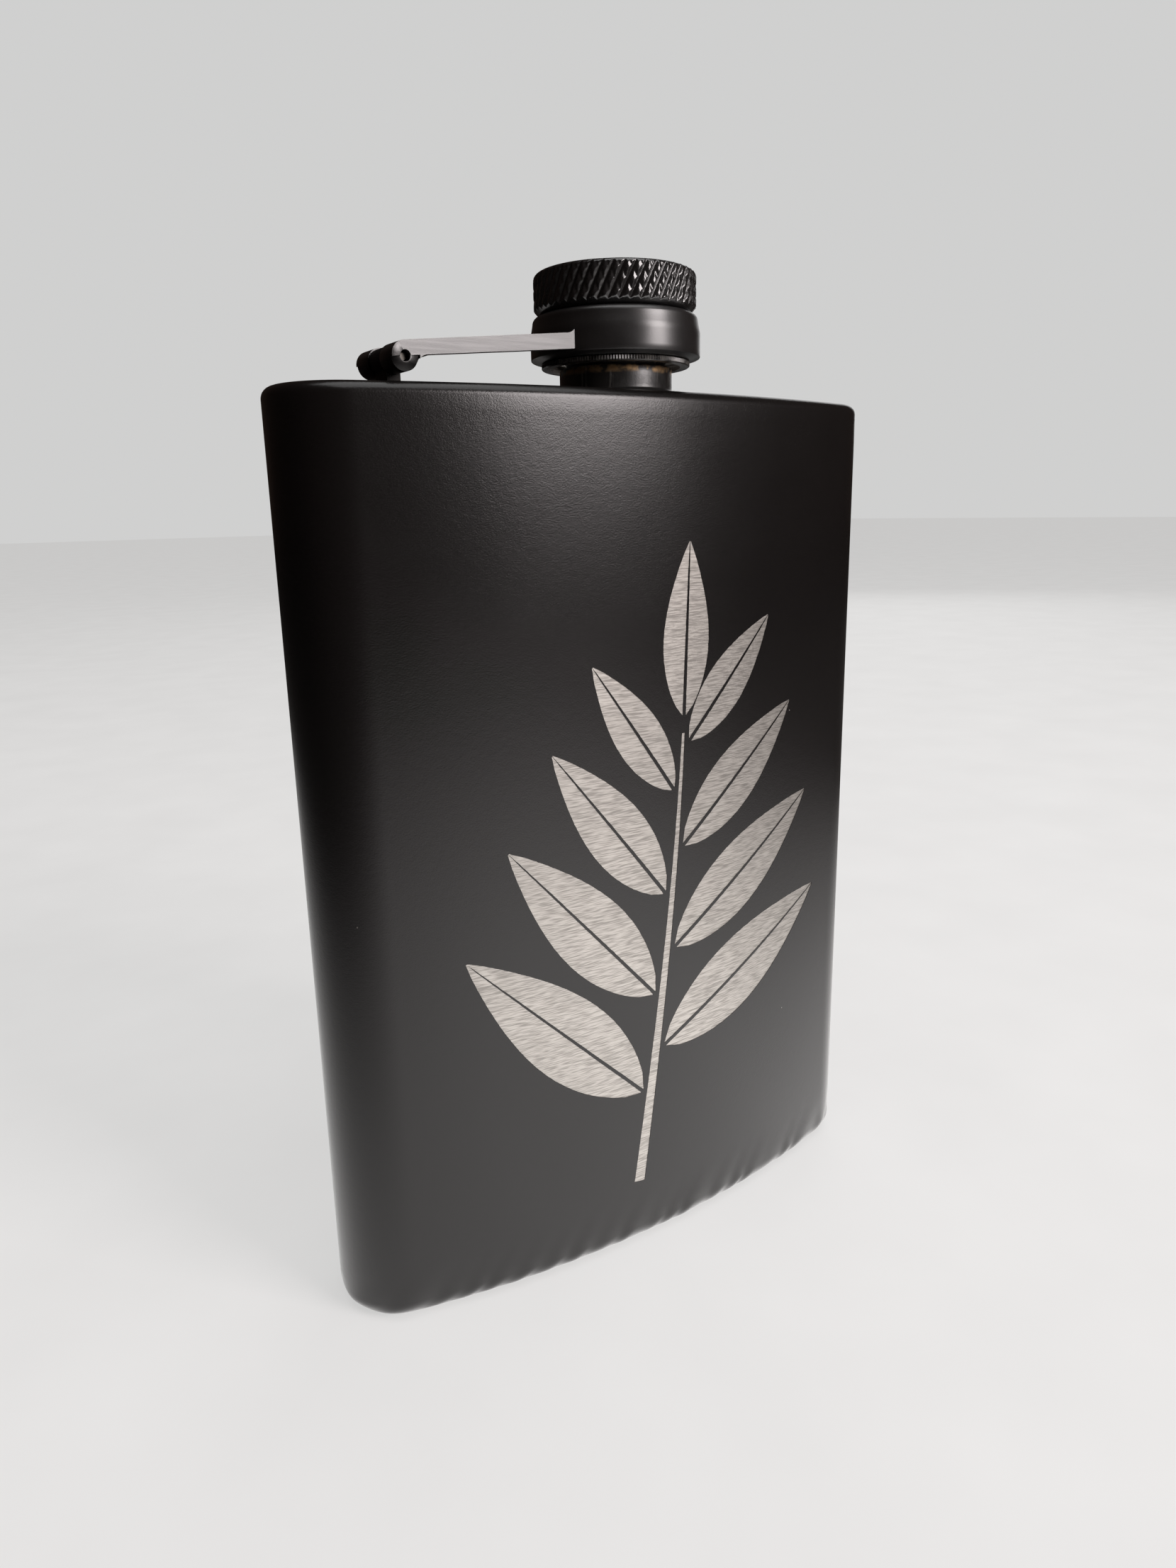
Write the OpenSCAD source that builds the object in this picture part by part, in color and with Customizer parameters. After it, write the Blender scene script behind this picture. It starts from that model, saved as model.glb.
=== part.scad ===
// Curved hip flask with a captive screw cap on a hinged arm.
// Millimetres. +Z is up and z = 0 is the face that it stands on. The front bulges towards -Y,
// the back is hollow and faces +Y, and the hinge is on the -X side of the neck.

/* [Body] */
// Width across the two rounded ends
body_w = 94; // [90:0.5:105]
// Height of the welded body, without the neck and cap
body_h = 126.6; // [110:1:150]
// Thickness of the body from front to back
body_t = 19; // [17:0.5:22]
// Radius of the curve that the middle of the body follows
bend_r = 158.5; // [140:0.5:220]
// Thickness of the sheet that the wall is formed from
sheet_t = 0.6; // [0.4:0.1:0.8]
// Thickness of the top and bottom plates
plate_t = 0.8; // [0.6:0.1:1.2]
// Radius of the rounded edge at the top of the wall
top_edge_r = 1.5; // [1:0.1:2]
// Radius of the rounded edge at the foot of the wall
foot_edge_r = 3; // [2:0.1:3.5]

/* [Neck] */
// Radius of the plain boss at the foot of the neck
boss_r = 7.6; // [7.4:0.05:7.8]
// Height of the plain boss above the top plate
boss_h = 3.2; // [2.6:0.1:3.2]
// Radius over the crests of the neck's thread
thread_r = 7.25; // [7:0.05:7.3]
// Pitch of the thread
thread_pitch = 1.5; // [1:0.25:1.5]
// Height of the mouth above the top plate
mouth_h = 9.3; // [8.5:0.1:9.3]
// Radius of the mouth's bore
mouth_r = 5.4; // [4.5:0.1:5.5]

/* [Cap] */
// Radius of the knurled head
head_r = 10.85; // [10.5:0.05:11]
// Height of the head's top above the top plate
cap_top = 15.2; // [14.5:0.05:16]
// Largest radius of the collar that the head turns in
collar_r = 11.4; // [11.2:0.05:11.7]
// Outer radius of the sleeve inside the collar
sleeve_r = 9.1; // [9:0.05:9.3]
// Thickness of the sealing washer
gasket_t = 1.45; // [1:0.05:1.5]

/* [Hinge] */
// Distance from the neck's axis to the hinge pin
hinge_reach = 33.25; // [31:0.05:33.5]
// Height of the hinge pin above the top plate
hinge_h = 2.7; // [2.6:0.05:3.2]
// Radius of the arm's two ears
ear_r = 1.7; // [1.6:0.05:2]
// Width of the arm, which is also the length of the hinge barrel
arm_w = 10.9; // [9:0.5:12]
// Length of the knuckle between the ears
knuckle_w = 3.4; // [3:0.1:5.5]
// Radius of the hinge pin
pin_r = 0.62; // [0.5:0.01:0.7]

/* [Hidden] */
$fn = 96;

coat = "#1b1b1c";
satin = "#4a4947";
rubber = "#d9d6cf";

// Body plan: a band of constant thickness along an arc, with half-round ends.
half_t = body_t / 2;
end_x = body_w / 2 - half_t;
end_y = bend_r - sqrt(bend_r ^ 2 - end_x ^ 2);
wedge_reach = 1.2; // how far the wedge runs on past the ends' centres
lip_w = 0.4;
top_lip = half_t - top_edge_r - lip_w;
foot_lip = half_t - foot_edge_r - lip_w;

// Neck, measured up from the top plate's face
spigot_r = 6.2;
spigot_drop = 1.6;
weld_r = boss_r + 0.35;
weld_h = 0.3;
thread_depth = 0.6;
thread_start = boss_h + 0.6;
mouth_chamfer = 0.55;
crest_half = 0.08; // half-widths of a thread ridge, as parts of the pitch
root_half = 0.46;
ridge_sink = 0.2; // how deep a ridge is rooted in its wall
neck_turns = floor((mouth_h - mouth_chamfer - thread_start) / thread_pitch);

// Cap, measured up from the top plate's face
flange_low = 3.35;
flange_high = 4.05;
flange_r = 10;
collar_low = 4.1;
collar_high = 9.85;
collar_bore_r = sleeve_r + 0.08;
collar_foot_chamfer = 0.4;
collar_foot_r = collar_r - 1.15;
collar_band_top = 7.5;
collar_shoulder_r = 0.85;
collar_neck_r = collar_r - 0.3;
head_low = collar_high + 0.1;
head_foot_r = head_r - 0.8;
head_chamfer_h = 0.85;
head_edge_r = 0.85;
gasket_low = mouth_h + 0.02;
head_ceiling = gasket_low + gasket_t;
gasket_r = 8.1;
nut_r = 7.9;
nut_root_r = 8.4;
nut_lead = 0.3; // from the sleeve's foot to its first thread
nut_relief = 0.8; // from its last thread to the washer's seat
nut_turns = 3;

// Hinge
hinge_x = -hinge_reach;
hinge_z = body_h + hinge_h;
pin_clearance = 0.04;
pin_recess = 1;
ear_gap = 0.1;
knuckle_r = ear_r - 0.15;
web_start = 2.6;
slot_r = ear_r + 0.35;
slot_reach = 4; // the slot's size below and behind the pin
slot_h = 9;
arm_top_slope = 5.6;
arm_low_slope = 5.1;
arm_root_fillet = 1.5;
arm_root_sweep = 80; // degrees of the collar that the fillet could follow
arm_root_z = hinge_h + ear_r / cos(arm_top_slope) + (hinge_reach - collar_r) * tan(arm_top_slope);
arm_root_inset = 6; // the bar's root, from the neck's axis, before the collar is cut out of it
arm_box = 20;
ear_fillet = 1.3;
pedestal_half = 0.9;
pedestal_h = 1.9;
under_start = 3.4; // where the bar's underside begins to rise towards the back, from the pin
under_tilt = 6;
under_drop = 0.12; // leaves a level strip along the front edge
under_cut = 5;

// The sector of the bend between its centre and the two ends, as a tall prism
module wedge() {
    far_x = wedge_reach * end_x;
    far_y = bend_r - wedge_reach * (bend_r - end_y);
    translate([0, 0, -1]) linear_extrude(body_h + 2)
        polygon([[0, bend_r], [-far_x, far_y], [far_x, far_y]]);
}

// Turns one section in (outwards, up) round the whole plan: front, back and both ends.
module around_body() {
    intersection() {
        translate([0, bend_r, 0]) {
            rotate_extrude($fn = 360) translate([bend_r, 0]) children();
            rotate_extrude($fn = 360) translate([bend_r, 0]) mirror([1, 0]) children();
        }
        wedge();
    }
    for (side = [-1, 1]) difference() {
        translate([side * end_x, end_y, 0]) rotate_extrude() children();
        wedge();
    }
}

// Half of the body's section, with rounded corners at its top and foot
module edge_section(out, low, high, r_top, r_low) {
    difference() {
        translate([0, low]) square([out, high - low]);
        translate([out - r_top, high - r_top]) difference() {
            square(r_top + 1);
            circle(r_top);
        }
        translate([out - r_low, low + r_low]) difference() {
            translate([0, -r_low - 1]) square(r_low + 1);
            circle(r_low);
        }
    }
}

// The wrapped sheet wall, rolled in at its top edge and its foot
module body_wall() {
    color(coat) around_body() difference() {
        edge_section(half_t, 0, body_h, top_edge_r, foot_edge_r);
        edge_section(half_t - sheet_t, sheet_t, body_h - sheet_t, top_edge_r - sheet_t, foot_edge_r - sheet_t);
        translate([-1, -1]) square([foot_lip + 1, body_h / 2]);
        translate([-1, body_h / 2 - 2]) square([top_lip + 1, body_h / 2 + 3]);
    }
}

// A flat plate that fills the plan inside the wall's lip
module plate(low, reach) {
    around_body() translate([0, low]) square([reach, plate_t]);
}

// The top plate, pierced for the neck
module top_plate() {
    color(coat) difference() {
        plate(body_h - plate_t, top_lip);
        translate([0, 0, body_h - plate_t - 1]) cylinder(r = spigot_r, h = plate_t + 2);
    }
}

// The bottom plate, which the flask stands on
module bottom_plate() {
    color(coat) plate(0, foot_lip);
}

// One thread ridge of a turned part, as a ring: depth > 0 points outwards and depth < 0 inwards
module ridge(root, depth) {
    sunk = root - sign(depth) * ridge_sink;
    foot = root_half * thread_pitch;
    tip = crest_half * thread_pitch;
    rotate_extrude() polygon([
        [sunk, -foot - 0.02], [root, -foot], [root + depth, -tip],
        [root + depth, tip], [root, foot], [sunk, foot + 0.02]]);
}

// The threaded neck: a spigot through the plate, a plain boss, and the thread
module neck() {
    root = thread_r - thread_depth;
    color(coat) translate([0, 0, body_h]) difference() {
        union() {
            translate([0, 0, -spigot_drop]) cylinder(r = spigot_r, h = spigot_drop + boss_h);
            cylinder(r1 = weld_r, r2 = boss_r, h = weld_h);
            cylinder(r = boss_r, h = boss_h);
            cylinder(r = root, h = mouth_h - mouth_chamfer);
            translate([0, 0, mouth_h - mouth_chamfer])
                cylinder(r1 = root, r2 = root - mouth_chamfer, h = mouth_chamfer);
            for (turn = [0 : neck_turns - 1])
                translate([0, 0, thread_start + (turn + 0.5) * thread_pitch]) ridge(root, thread_depth);
        }
        translate([0, 0, -spigot_drop - 1]) cylinder(r = mouth_r, h = mouth_h + spigot_drop + 2);
    }
}

// Places a piece drawn in the hinge's side view: x away from the pin, y up, drawn from y = -w/2 to w/2
module across_hinge(w) {
    translate([hinge_x, w / 2, hinge_z]) rotate([90, 0, 0]) linear_extrude(w) children();
}

// The pedestal welded to the top plate, with the middle knuckle of the hinge
module hinge_base() {
    color(coat) across_hinge(knuckle_w) difference() {
        union() {
            circle(knuckle_r);
            translate([-pedestal_half, -hinge_h]) square([2 * pedestal_half, pedestal_h]);
        }
        circle(pin_r);
    }
}

// The pin, pressed into the knuckle and running in the ears
module hinge_pin() {
    color(satin) across_hinge(arm_w - 2 * pin_recess) circle(pin_r);
}

// Side view of the arm: the round ear, and the bar that thickens towards the collar
module arm_side() {
    bar_l = hinge_reach - arm_root_inset;
    top_y = ear_r / cos(arm_top_slope);
    difference() {
        union() {
            circle(ear_r);
            polygon([[0, 0], [bar_l, bar_l * tan(arm_low_slope)],
                     [bar_l, top_y + bar_l * tan(arm_top_slope)],
                     [-ear_r * sin(arm_top_slope), ear_r * cos(arm_top_slope)]]);
            translate([0, -ear_fillet]) square([ear_r + ear_fillet, ear_fillet + 0.2]);
        }
        translate([ear_r + ear_fillet, -ear_fillet]) circle(ear_fillet);
        circle(pin_r + pin_clearance);
    }
}

// Takes away what lies below the bar's underside, which slopes up to the back
module underside_cut() {
    translate([hinge_x, -arm_w / 2, hinge_z]) rotate([0, -arm_low_slope, 0]) rotate([under_tilt, 0, 0])
        translate([under_start, -1, -under_drop - under_cut]) cube([hinge_reach, arm_w + 2, under_cut]);
}

// The hinged arm: a flat bar with two ears, cut to sit against the collar
module hinge_arm() {
    gap_w = knuckle_w + 2 * ear_gap;
    color(satin) difference() {
        union() {
            across_hinge(arm_w) arm_side();
            intersection() {
                translate([0, 0, body_h + arm_root_z]) rotate(180 - arm_root_sweep / 2)
                rotate_extrude(angle = arm_root_sweep) difference() {
                    translate([collar_r - 1, -1]) square([arm_root_fillet + 1, arm_root_fillet + 1]);
                    translate([collar_r + arm_root_fillet, arm_root_fillet]) circle(arm_root_fillet);
                }
                translate([-arm_box, -arm_w / 2, body_h]) cube([arm_box, arm_w, arm_box]);
            }
        }
        translate([0, 0, body_h]) cylinder(r = collar_r, h = collar_high + 2);
        underside_cut();
        across_hinge(gap_w) {
            circle(slot_r);
            translate([-slot_reach, -slot_reach]) square([slot_reach + web_start, slot_h]);
        }
    }
}

// The collar that the head turns in, joined to the arm
module cap_collar() {
    shoulder_z = collar_high - collar_shoulder_r;
    color(coat) translate([0, 0, body_h]) rotate_extrude() {
        polygon([
            [collar_bore_r, collar_low], [collar_foot_r, collar_low],
            [collar_r, collar_low + collar_foot_chamfer], [collar_r, collar_band_top],
            [collar_neck_r, shoulder_z], [collar_neck_r - collar_shoulder_r, shoulder_z],
            [collar_neck_r - collar_shoulder_r, collar_high], [collar_bore_r, collar_high]]);
        translate([collar_neck_r - collar_shoulder_r, shoulder_z]) intersection() {
            circle(collar_shoulder_r);
            square(collar_shoulder_r);
        }
    }
}

// The solid head that the fingers turn
module cap_head() {
    edge_z = cap_top - head_edge_r;
    color(coat) translate([0, 0, body_h]) rotate_extrude() {
        polygon([
            [sleeve_r, head_low], [head_foot_r, head_low], [head_r, head_low + head_chamfer_h],
            [head_r, edge_z], [head_r - head_edge_r, edge_z], [head_r - head_edge_r, cap_top],
            [0, cap_top], [0, head_ceiling], [sleeve_r, head_ceiling]]);
        translate([head_r - head_edge_r, edge_z]) intersection() {
            circle(head_edge_r);
            square(head_edge_r);
        }
    }
}

// The threaded sleeve pressed into the head, whose flange keeps the collar on
module thread_sleeve() {
    nut_start = flange_low + nut_lead;
    color(satin) translate([0, 0, body_h]) difference() {
        union() {
            translate([0, 0, flange_low]) cylinder(r = flange_r, h = flange_high - flange_low);
            translate([0, 0, flange_low]) cylinder(r = sleeve_r, h = head_ceiling - flange_low);
        }
        difference() {
            translate([0, 0, flange_low - 1]) cylinder(r = nut_root_r, h = gasket_low - flange_low + nut_relief);
            for (turn = [0 : nut_turns - 1])
                translate([0, 0, nut_start + (turn + 0.5) * thread_pitch]) ridge(nut_root_r, nut_r - nut_root_r);
        }
        translate([0, 0, gasket_low - 1]) cylinder(r = gasket_r, h = gasket_t + 2);
    }
}

// The soft sealing washer above the mouth
module cap_gasket() {
    color(rubber) translate([0, 0, body_h + gasket_low]) cylinder(r = gasket_r, h = gasket_t);
}

body_wall();
top_plate();
bottom_plate();
neck();
hinge_base();
hinge_pin();
hinge_arm();
cap_collar();
cap_head();
thread_sleeve();
cap_gasket();
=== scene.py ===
"""The look of a curved hip flask: black powder coat, engraved front, knurled captive cap on a hinged arm."""
import math

import bmesh
import bpy
from mathutils import Matrix, Vector, geometry, noise


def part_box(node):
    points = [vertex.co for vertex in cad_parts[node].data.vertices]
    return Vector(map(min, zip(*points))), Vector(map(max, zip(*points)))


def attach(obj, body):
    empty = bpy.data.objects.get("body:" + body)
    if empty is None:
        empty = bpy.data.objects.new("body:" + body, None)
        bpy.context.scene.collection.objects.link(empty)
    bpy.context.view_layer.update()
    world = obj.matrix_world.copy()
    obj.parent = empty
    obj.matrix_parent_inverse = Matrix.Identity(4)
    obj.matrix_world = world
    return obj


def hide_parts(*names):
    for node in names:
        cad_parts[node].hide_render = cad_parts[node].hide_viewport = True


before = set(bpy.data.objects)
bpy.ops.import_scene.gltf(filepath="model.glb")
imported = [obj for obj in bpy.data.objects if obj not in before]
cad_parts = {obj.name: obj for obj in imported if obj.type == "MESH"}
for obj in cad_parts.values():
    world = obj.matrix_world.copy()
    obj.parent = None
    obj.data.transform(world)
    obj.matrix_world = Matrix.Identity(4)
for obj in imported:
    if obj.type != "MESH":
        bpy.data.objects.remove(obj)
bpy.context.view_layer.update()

MM = 0.001
TURN = 2 * math.pi


# ---------------------------------------------------------------- sizes, in millimetres

def node_box(name):
    """A CAD node's lowest and highest corners in millimetres."""
    low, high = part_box(name)
    return Vector(low) / MM, Vector(high) / MM


wall_high = node_box("body_wall")[1]
head_low, head_high = node_box("cap_head")
collar_low, collar_high = node_box("cap_collar")
sleeve_low, sleeve_high = node_box("thread_sleeve")
arm_low, arm_high = node_box("hinge_arm")
knuckle_low, knuckle_high = node_box("hinge_base")
pin_low, pin_high = node_box("hinge_pin")
gasket_low, gasket_high = node_box("cap_gasket")
neck_low, neck_high = node_box("neck")

BODY_H = wall_high.z
BODY_T = 19.0
HALF_T = BODY_T / 2
BEND_R = 158.5
END_X = wall_high.x - HALF_T
BEND_A = math.asin(END_X / BEND_R)
END_Y = BEND_R * (1 - math.cos(BEND_A))
FRONT_R = BEND_R + HALF_T
SHEET_T = 0.6
PLATE_T = 0.8
TOP_EDGE_R = 1.5
FOOT_EDGE_R = 3.0
LIP_W = 0.4
TOP_LIP = HALF_T - TOP_EDGE_R - LIP_W
FOOT_LIP = HALF_T - FOOT_EDGE_R - LIP_W
SEAM_R = 0.14
SEAM_MID = SEAM_R * 0.3

HINGE_X = (knuckle_low.x + knuckle_high.x) / 2
HINGE_Z = (pin_low.z + pin_high.z) / 2
PIN_R = (pin_high.x - pin_low.x) / 2
EAR_R = 1.7
ARM_W = arm_high.y - arm_low.y
KNUCKLE_W = knuckle_high.y - knuckle_low.y
HEAD_R = head_high.x
COLLAR_R = collar_high.x
FLANGE_R = sleeve_high.x
SPIGOT_R = 6.2
THREAD_PITCH = 1.5


# ---------------------------------------------------------------- mesh helpers

WELD_MM = 0.0005


def make_piece(name, verts, faces, body, node, slot, material, smooth_deg=30):
    """A mesh in millimetres becomes a piece that rides on a body and replaces its CAD node."""
    mesh = bpy.data.meshes.new(name)
    mesh.from_pydata([Vector(v) * MM for v in verts], [], faces)
    finish_piece(name, mesh, body, node, material, smooth_deg)


def finish_piece(name, mesh, body, node, material, smooth_deg=30, flat_mm2=None):
    """Welds, faces outwards, shades smooth up to an angle, gives the material, hangs the piece on its body
    and hides the CAD node it stands in for.
    Faces larger than flat_mm2 are shaded flat."""
    bm = bmesh.new()
    bm.from_mesh(mesh)
    bmesh.ops.remove_doubles(bm, verts=bm.verts, dist=WELD_MM * MM)
    bmesh.ops.recalc_face_normals(bm, faces=bm.faces)
    for face in bm.faces:
        face.smooth = flat_mm2 is None or face.calc_area() < flat_mm2 * MM * MM
    for edge in bm.edges:
        if len(edge.link_faces) == 2 and edge.calc_face_angle(0) > math.radians(smooth_deg):
            edge.smooth = False
    bm.to_mesh(mesh)
    bm.free()
    mesh.name = name
    mesh.materials.clear()
    mesh.materials.append(material)
    piece = bpy.data.objects.new(name, mesh)
    bpy.context.scene.collection.objects.link(piece)
    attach(piece, body)
    if node:
        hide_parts(node)


def compact(verts, faces):
    """Leaves out the points that no face uses."""
    used = sorted({i for face in faces for i in face})
    renumber = {old: new for new, old in enumerate(used)}
    return [verts[i] for i in used], [tuple(renumber[i] for i in face) for face in faces]


def loft(loops):
    """Joins a closed ring of closed loops, all with the same number of points, into quads."""
    verts = [p for loop in loops for p in loop]
    n, m = len(loops), len(loops[0])
    faces = []
    for i in range(n):
        for j in range(m):
            ahead, beside = (i + 1) % n, (j + 1) % m
            faces.append((i * m + j, i * m + beside, ahead * m + beside, ahead * m + j))
    return verts, faces


def lathe(section, segments):
    """Turns a section about the neck's axis. section(angle) gives a closed list of (radius, height above
    the body's top)."""
    loops = []
    for i in range(segments):
        angle = TURN * i / segments
        c, s = math.cos(angle), math.sin(angle)
        loops.append([(r * c, r * s, BODY_H + z) for r, z in section(angle)])
    return loft(loops)


def arc(cx, cy, r, start_deg, end_deg, steps):
    """Points along an arc, both ends included."""
    points = []
    for i in range(steps + 1):
        a = math.radians(start_deg + (end_deg - start_deg) * i / steps)
        points.append((cx + r * math.cos(a), cy + r * math.sin(a)))
    return points


def circle(r, steps):
    """Points round a circle about the origin."""
    return [(r * math.cos(TURN * i / steps), r * math.sin(TURN * i / steps)) for i in range(steps)]


def line(a, b, steps):
    """Points from a towards b, without b."""
    return [(a[0] + (b[0] - a[0]) * i / steps, a[1] + (b[1] - a[1]) * i / steps) for i in range(steps)]


def smoothstep(low, high, x):
    """0 up to low, 1 from high on, and a smooth rise between them."""
    t = min(1.0, max(0.0, (x - low) / (high - low)))
    return t * t * (3 - 2 * t)


# ---------------------------------------------------------------- node helpers for materials

class Shader:
    """A material with a Principled shader, and short calls for the nodes that feed it."""

    def __init__(self, name, **settings):
        self.material = bpy.data.materials.new(name)
        self.material.use_nodes = True
        self.tree = self.material.node_tree
        self.shader = self.tree.nodes["Principled BSDF"]
        for key, value in settings.items():
            self.shader.inputs[key.replace("_", " ")].default_value = value
        self.coords = self.tree.nodes.new("ShaderNodeTexCoord").outputs["Object"]

    def add(self, kind, inputs=None, **settings):
        """A node of a kind; an input is linked if it is given a socket, and set if it is given a value."""
        node = self.tree.nodes.new("ShaderNode" + kind)
        for key, value in settings.items():
            setattr(node, key, value)
        for key, value in (inputs or {}).items():
            if isinstance(value, bpy.types.NodeSocket):
                self.tree.links.new(value, node.inputs[key])
            else:
                node.inputs[key].default_value = value
        return node

    def scaled(self, sx, sy, sz):
        """The object's coordinates, stretched."""
        return self.add("Mapping", {"Vector": self.coords, "Scale": (sx, sy, sz)}).outputs["Vector"]

    def noise(self, scale, detail=3.0, roughness=0.5, vector=None):
        node = self.add("TexNoise", {"Vector": vector or self.coords, "Scale": scale, "Detail": detail,
                                     "Roughness": roughness})
        return node.outputs["Fac"]

    def math(self, operation, a, b=0.5, c=0.0):
        return self.add("Math", {0: a, 1: b, 2: c}, operation=operation).outputs[0]

    def ramp(self, fac, low, high, to_low=0.0, to_high=1.0):
        """Maps low..high to to_low..to_high, and clamps."""
        return self.add("MapRange", {"Value": fac, "From Min": low, "From Max": high, "To Min": to_low,
                                     "To Max": to_high}).outputs["Result"]

    def mix(self, fac, a, b):
        """Colour a at 0, colour b at 1. The Mix node's sockets share names, so they go by number."""
        return self.add("Mix", {0: fac, 6: a, 7: b}, data_type="RGBA").outputs[2]

    def bump(self, height, distance, strength=1.0, normal=None):
        inputs = {"Height": height, "Distance": distance, "Strength": strength}
        if normal is not None:
            inputs["Normal"] = normal
        return self.add("Bump", inputs).outputs["Normal"]

    def set(self, **links):
        """Links sockets to the shader's inputs, and gives back the finished material."""
        for key, socket in links.items():
            self.tree.links.new(socket, self.shader.inputs[key.replace("_", " ")])
        return self.material


def specks(s, cell_per_m, radius, share):
    """Sparse round specks: 1 inside a speck, 0 elsewhere."""
    cells = s.add("TexVoronoi", {"Vector": s.coords, "Scale": cell_per_m})
    near = s.ramp(cells.outputs["Distance"], radius, radius * 0.6, 0.0, 1.0)
    pick = s.add("SeparateColor", {"Color": cells.outputs["Color"]}).outputs["Red"]
    return s.math("MULTIPLY", near, s.math("LESS_THAN", pick, share))


# ---------------------------------------------------------------- materials, lengths in metres

def powder_coat():
    """Satin black powder coat with a fine grain, slow changes of gloss, and a little dust."""
    coat_dark, coat_light = (0.0044, 0.0038, 0.0037, 1), (0.0064, 0.0056, 0.0053, 1)
    dust_grey = (0.42, 0.4, 0.37, 1)
    s = Shader("powder_coat", IOR=1.42)
    grain = s.noise(5200, 2.0, 0.55)
    peel = s.noise(1100, 2.0)
    patch = s.noise(45, 3.0)
    dust = s.math("MAXIMUM", specks(s, 90, 0.022, 0.09), specks(s, 260, 0.035, 0.05))
    dusty = s.mix(s.math("MULTIPLY", dust, 0.8), s.mix(patch, coat_dark, coat_light), dust_grey)
    gloss = s.math("MULTIPLY_ADD", patch, 0.5, s.math("MULTIPLY", grain, 0.5))
    normal = s.bump(grain, 0.00003, 0.45, s.bump(peel, 0.00003, 0.3))
    return s.set(Base_Color=dusty, Roughness=s.ramp(gloss, 0.3, 0.7, 0.215, 0.275), Normal=normal)


def neck_coat(rub_and_glint_z):
    """The neck's coat, scratched by the cap's thread and rubbed to bare metal in a line at rub_and_glint_z;
    the warm gold tint of that line is a painted highlight.
    """
    coat, scratched, warm_glint_metal = (0.009, 0.0088, 0.0085, 1), (0.17, 0.165, 0.155, 1), (0.38, 0.25, 0.13, 1)
    s = Shader("neck_coat", IOR=1.5)
    height = s.add("SeparateXYZ", {"Vector": s.coords}).outputs["Z"]
    streak = s.noise(1500, 3.0, 0.6, s.scaled(1.0, 1.0, 0.06))
    blotch = s.noise(700, 3.0, 0.6)
    fine = s.noise(5200, 2.0, 0.5)
    lip = s.ramp(s.math("ABSOLUTE", s.math("SUBTRACT", height, rub_and_glint_z)), 0.0006, 0.0001)
    rub_and_glint = s.math("MULTIPLY", lip, s.ramp(blotch, 0.42, 0.62))
    scratch = s.math("MULTIPLY", s.ramp(streak, 0.6, 0.7), s.ramp(blotch, 0.35, 0.65, 0.2, 1.0))
    # The rubbed line is part wear and part painted highlight: its warm gold metal stands for a warm glint
    # under the collar.
    color = s.mix(rub_and_glint, s.mix(scratch, coat, scratched), warm_glint_metal)
    metal = s.math("MAXIMUM", rub_and_glint, s.math("MULTIPLY", scratch, 0.5))
    normal = s.bump(streak, 0.00003, 0.5, s.bump(fine, 0.00002, 0.4))
    rough = s.ramp(blotch, 0.3, 0.7, 0.3, 0.44)
    return s.set(Base_Color=color, Metallic=metal, Roughness=rough, Normal=normal)


def turned_coat(name, smooth, rough):
    """The thin coat of the cap's turned parts, with the lathe's faint rings under it."""
    coat_dark, coat_light, worn = (0.0075, 0.007, 0.007, 1), (0.0125, 0.0118, 0.0118, 1), (0.2, 0.19, 0.18, 1)
    s = Shader(name, IOR=1.62)
    rings = s.noise(9000, 2.0, 0.6, s.scaled(0.03, 0.03, 1.0))
    blotch = s.noise(260, 3.0)
    fine = s.noise(6500, 2.0, 0.55)
    color = s.mix(s.ramp(fine, 0.66, 0.76, 0.0, 0.12), s.mix(blotch, coat_dark, coat_light), worn)
    normal = s.bump(rings, 0.000005, 0.25, s.bump(fine, 0.00001, 0.25))
    return s.set(Base_Color=color, Roughness=s.ramp(blotch, 0.3, 0.7, smooth, rough), Normal=normal)


def arm_coat(pin_x, pin_z):
    """The arm's satin coat, over steel that was ground along its length; below the pin the ear carries
    painted shade.
    """
    coat_dark, coat_light = (0.009, 0.0088, 0.0087, 1), (0.013, 0.0127, 0.0125, 1)
    worn = (0.1, 0.095, 0.09, 1)
    s = Shader("arm_coat", IOR=1.6)
    along = s.noise(3200, 3.0, 0.6, s.scaled(0.04, 1.0, 1.0))
    blotch = s.noise(200, 3.0)
    fine = s.noise(7000, 2.0, 0.5)
    place = s.add("SeparateXYZ", {"Vector": s.coords})
    x = s.math("SUBTRACT", place.outputs["X"], pin_x)
    z = s.math("SUBTRACT", place.outputs["Z"], pin_z)
    radius = s.math("SQRT", s.math("ADD", s.math("MULTIPLY", x, x), s.math("MULTIPLY", z, z)))
    below = s.ramp(s.math("ADD", s.math("MULTIPLY", x, 0.5), z), 0.0002, -0.0004)
    # Painted shade: below the pin the ear's coat is made near-black metal, so it reflects almost nothing
    # there.
    pin_shade = s.math("MULTIPLY", below, s.ramp(radius, 0.0021, 0.0019))
    color = s.mix(s.ramp(along, 0.62, 0.75, 0.0, 0.25), s.mix(blotch, coat_dark, coat_light), worn)
    normal = s.bump(along, 0.000005, 0.3, s.bump(fine, 0.00001, 0.3))
    return s.set(Base_Color=color, Metallic=s.math("MULTIPLY", pin_shade, 0.85),
                 Roughness=s.ramp(along, 0.3, 0.7, 0.28, 0.34), Normal=normal)


def weld_coat():
    """The dull coat of the hinge's pedestal, over the grain of its weld."""
    s = Shader("weld_coat", IOR=1.4, Metallic=0.85)
    grain = s.noise(2600, 3.0, 0.6)
    blotch = s.noise(500, 3.0)
    color = s.mix(blotch, (0.009, 0.0084, 0.008, 1), (0.016, 0.015, 0.0145, 1))
    return s.set(Base_Color=color, Roughness=s.ramp(blotch, 0.3, 0.7, 0.55, 0.66),
                 Normal=s.bump(grain, 0.00004, 0.6))


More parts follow.
